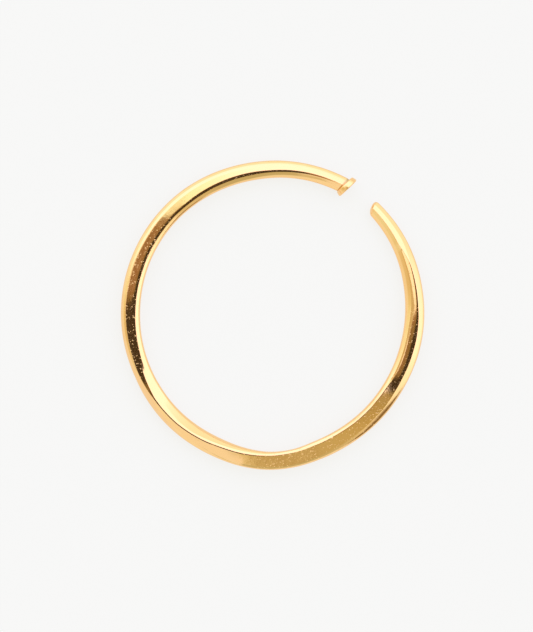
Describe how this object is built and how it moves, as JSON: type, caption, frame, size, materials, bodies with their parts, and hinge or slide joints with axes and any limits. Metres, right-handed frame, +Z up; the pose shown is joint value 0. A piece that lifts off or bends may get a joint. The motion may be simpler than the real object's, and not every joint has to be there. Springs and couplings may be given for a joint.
{
  "type": "ear cuff",
  "caption": "Open hoop of softly faceted wire, with a small disc collar at one end and a blunt, thinned tip at the other, slipped over the edge of the ear and held there by its spring.",
  "frame": {"origin": "middle of the bounding box's bottom: the cuff lies on its side, and the origin is on the surface that it rests on, inside the hoop", "axes": "+Z up, along the axis of the hoop; +Y towards the collar's side, where the gap is 54 degrees round from +X; +X to the right of the picture's view"},
  "size_m": [0.013, 0.0132, 0.001],
  "materials": {
    "polished_gold": "polished gold plate over hammered, softly faceted metal"
  },
  "bodies": {
    "root": {"ear_cuff_band": "polished_gold"}
  },
  "joints": []
}
